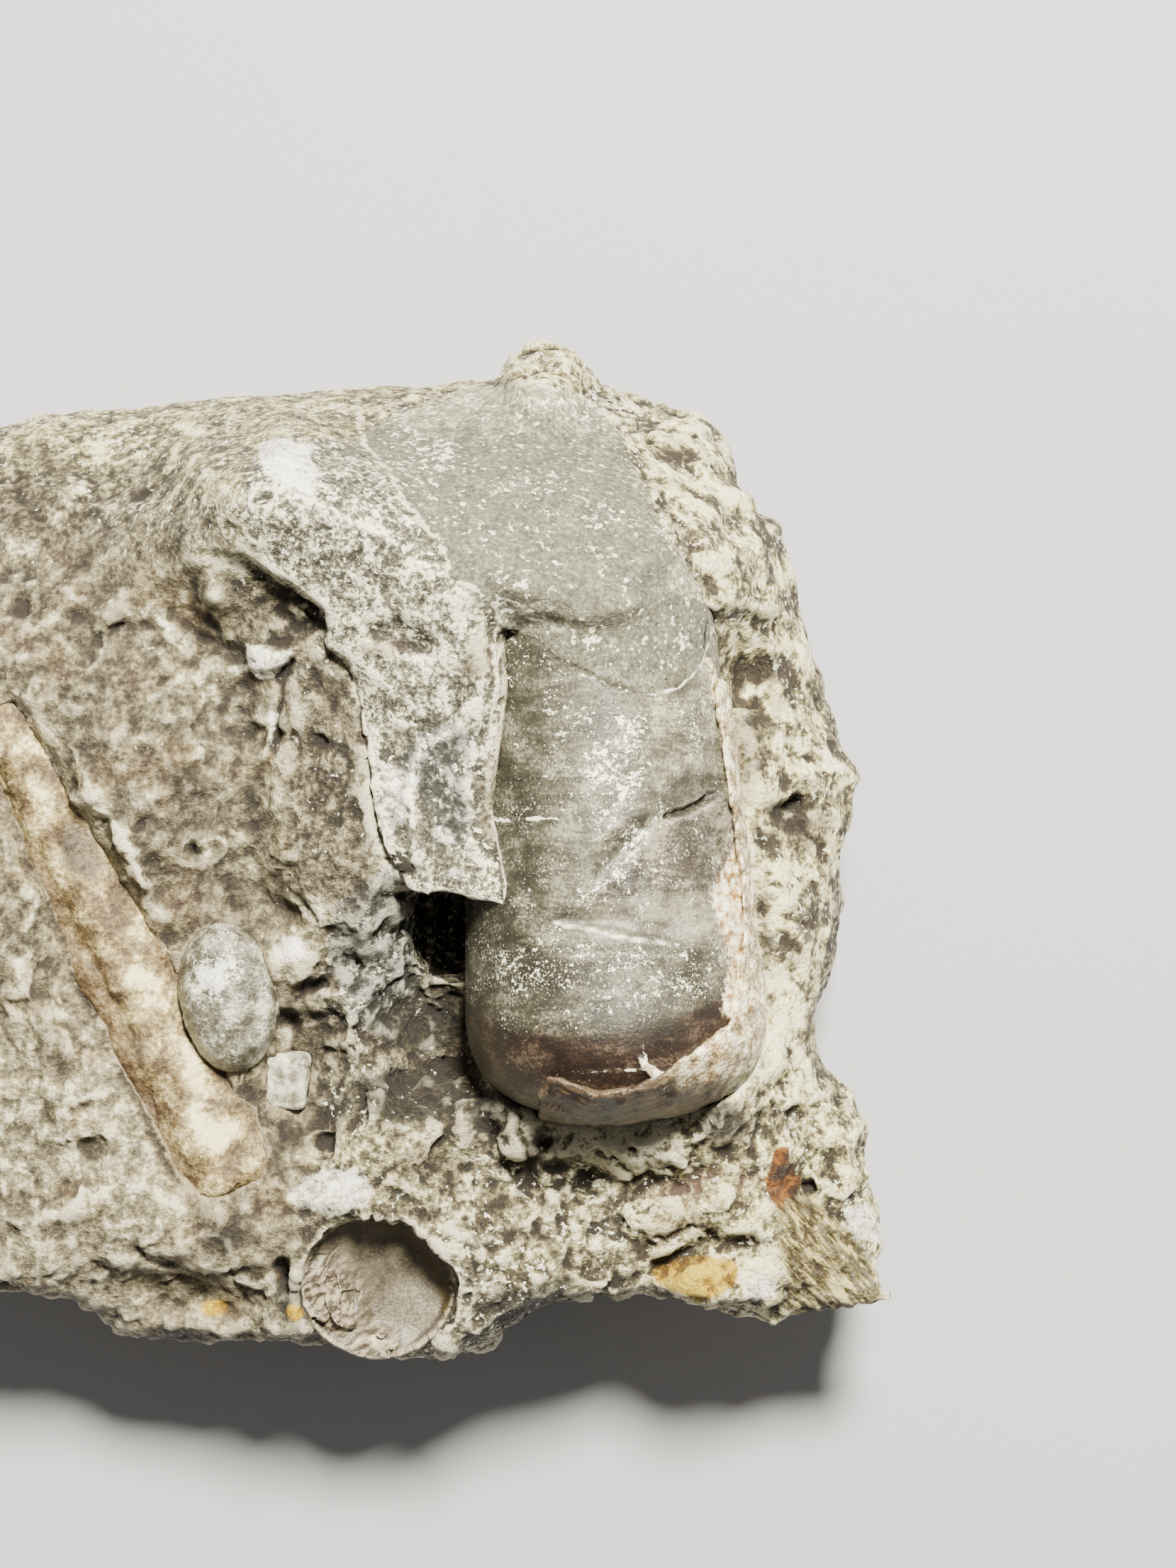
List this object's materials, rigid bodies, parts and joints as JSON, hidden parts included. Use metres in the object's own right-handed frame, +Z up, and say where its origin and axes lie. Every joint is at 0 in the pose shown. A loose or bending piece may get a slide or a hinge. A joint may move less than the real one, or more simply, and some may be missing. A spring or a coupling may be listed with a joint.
{
  "type": "orthoceras fossil in limestone matrix",
  "caption": "Hand specimen of shelly grey limestone with a smooth straight nautiloid mould standing out of its broken face, under a domed stone skin, beside smaller fossils.",
  "frame": {"origin": "on the flat bedding face that the block rests on, under the middle of the block", "axes": "+Z up out of the bedding face towards the fossils, +Y along the main orthocone away from its round end, +X to the right, the longest way of the block"},
  "size_m": [0.0659, 0.058, 0.0294],
  "materials": {
    "limestone": "rough broken stone, with smooth matt grey skin over the dome",
    "micrite_mould": "smooth satin stone with fine pale specks",
    "shell": "satin, thin brown calcite shell",
    "tan_calcite": "satin, tan recrystallised shell",
    "glassy_calcite": "glossy sparry calcite",
    "valve_shell": "satin shell with fine growth lines",
    "white_calcite": "glossy cleaved crystal"
  },
  "bodies": {
    "root": {"limestone_matrix": "limestone", "orthocone_mould": "micrite_mould", "shell_remnant": "shell", "small_orthocone": "tan_calcite", "crinoid_ossicle": "glassy_calcite", "brachiopod_valve": "valve_shell", "calcite_crystal": "white_calcite"}
  },
  "joints": []
}
